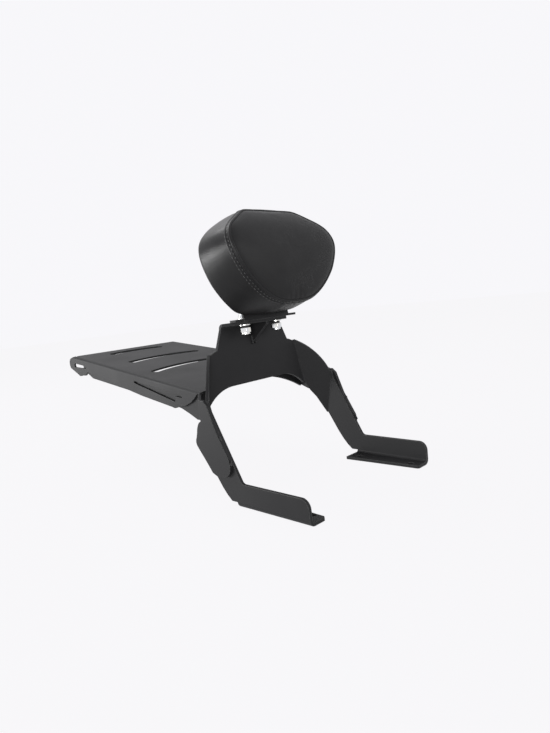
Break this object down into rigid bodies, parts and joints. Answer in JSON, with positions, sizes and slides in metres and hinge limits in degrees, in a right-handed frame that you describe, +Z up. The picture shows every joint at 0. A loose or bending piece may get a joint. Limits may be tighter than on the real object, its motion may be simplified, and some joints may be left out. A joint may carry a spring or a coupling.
{
  "type": "motorcycle backrest with luggage rack",
  "caption": "Bent sheet-steel bracket for a motorcycle with a slotted luggage rack behind it and an upholstered passenger backrest pad bolted on top.",
  "frame": {"origin": "centre of the four foot bolt holes, in the plane of the foot flanges' underside", "axes": "+Z up, -Y to the front of the motorcycle, +X to the machine's left side; the rack runs back along +Y"},
  "size_m": [0.248, 0.5367, 0.3476],
  "materials": {
    "powder_coat": "satin",
    "plywood": "raw",
    "foam": "matte",
    "cover": "satin",
    "zinc": "bright zinc",
    "nylon": "matte",
    "bush": "matte"
  },
  "bodies": {
    "root": {"main_bracket": "powder_coat", "flange_gusset": "powder_coat", "arch_web": "powder_coat", "left_rail": "powder_coat", "right_rail": "powder_coat", "rack_plate": "powder_coat", "pad_bracket": "powder_coat", "pad_board": "plywood", "pad_foam": "foam", "front_panel": "cover", "side_band": "cover", "back_panel": "cover", "seam_cord": "cover", "flange_bolts": "zinc", "flange_washers": "zinc", "nut_bushes": "bush", "lock_nuts": "zinc", "nylon_rings": "nylon", "board_bolts": "zinc", "board_washers": "zinc", "tee_nuts": "zinc", "rack_welds": "powder_coat", "leg_welds": "powder_coat", "gusset_welds": "powder_coat"}
  },
  "joints": []
}
